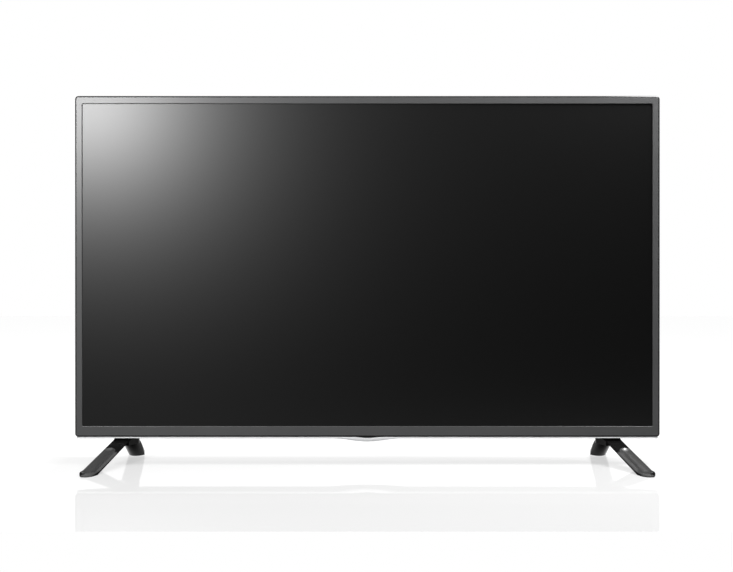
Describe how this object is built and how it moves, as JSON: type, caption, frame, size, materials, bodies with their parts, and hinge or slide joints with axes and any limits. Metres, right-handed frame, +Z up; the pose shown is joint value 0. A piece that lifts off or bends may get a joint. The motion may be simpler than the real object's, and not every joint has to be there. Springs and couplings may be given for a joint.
{
  "type": "flat screen television",
  "caption": "Thin-bezel flat screen television on two splayed feet, with its display stack, boards, speakers, rear sockets, wall mount bushes and a joystick button under the middle",
  "frame": {"origin": "on the floor, midway across the set and midway between the feet's front and rear tips", "axes": "+X right seen from the front, the screen faces -Y, +Z up"},
  "size_m": [1.106, 0.241, 0.6982],
  "materials": {
    "bezel_grey": "satin dark grey with a fine metallic fleck",
    "clear_plastic": "clear moulded acrylic",
    "window_dark": "smoked gloss",
    "screen": "dark satin anti-glare polariser over glass",
    "frame_black": "fine matte moulding",
    "soft_rubber": "matte rubber",
    "white_sheet": "soft white",
    "galvanised_steel": "dull zinc with faint spangle",
    "board_green": "solder resist",
    "board_cream": "bare phenolic board",
    "chip_black": "dull moulded package",
    "sink_metal": "bare extruded",
    "copper_amber": "taped winding",
    "socket_metal": "plated",
    "screw_metal": "blackened",
    "cover_black": "textured moulding",
    "foot_black": "high gloss with soft edges",
    "dish_grey": "satin grey",
    "cable_white": "flat insulated cable",
    "jack_plastic": "coloured insert"
  },
  "bodies": {
    "root": {"front_bezel": "bezel_grey", "clear_trim_strip": "clear_plastic", "remote_window": "window_dark", "lcd_panel": "screen", "panel_guide_frame": "frame_black", "panel_buffers": "soft_rubber", "prism_film": "white_sheet", "diffuser_plate": "white_sheet", "reflector_sheet": "white_sheet", "light_bars": "white_sheet", "light_lenses": "clear_plastic", "back_chassis": "galvanised_steel", "rear_cover": "cover_black", "socket_bays": "cover_black", "cover_screws": "screw_metal", "wall_mount_bushes": "galvanised_steel", "main_board": "board_green", "board_chips": "chip_black", "main_heat_sink": "sink_metal", "main_board_plugs": "cable_white", "power_board": "board_cream", "power_transformers": "copper_amber", "power_capacitors": "chip_black", "power_heat_sinks": "sink_metal", "timing_board": "board_green", "timing_board_shield": "galvanised_steel", "source_boards": "board_green", "source_flexes": "copper_amber", "board_screws": "screw_metal", "video_sockets": "socket_metal", "data_socket": "socket_metal", "network_socket": "socket_metal", "optical_socket": "chip_black", "aerial_socket": "socket_metal", "sound_jacks": "jack_plastic", "mains_inlet": "chip_black", "speaker_left": "frame_black", "speaker_right": "frame_black", "speaker_cones": "chip_black", "speaker_gaskets": "soft_rubber", "button_case": "frame_black", "button_board": "board_green", "button_dome": "socket_metal", "foot_left": "foot_black", "foot_right": "foot_black", "foot_dish_left": "dish_grey", "foot_dish_right": "dish_grey", "foot_pads": "soft_rubber", "foot_brackets": "galvanised_steel", "foot_screws": "screw_metal", "sensor_board": "board_green", "ribbon_cable": "cable_white", "power_harness": "cable_white", "light_harness": "cable_white", "speaker_wires": "cable_white", "sensor_cable": "cable_white"},
    "gimbal": {"joystick_ring": "frame_black"},
    "stem": {"joystick_stem": "frame_black"},
    "cap": {"joystick_cap": "foot_black"}
  },
  "joints": [
    {"name": "joystick_fore_aft", "type": "hinge", "parent": "root", "child": "gimbal", "pos_m": [0, 0.03, 0.062], "axis": [1, 0, 0], "range_deg": [-6, 6], "stiffness_Nm_per_rad": 0.02},
    {"name": "joystick_side", "type": "hinge", "parent": "gimbal", "child": "stem", "pos_m": [0, 0.03, 0.062], "axis": [0, 1, 0], "range_deg": [-6, 6], "stiffness_Nm_per_rad": 0.02},
    {"name": "joystick_press", "type": "slide", "parent": "stem", "child": "cap", "axis": [0, 0, 1], "range_m": [0, 0.0006], "stiffness_N_per_m": 400}
  ]
}
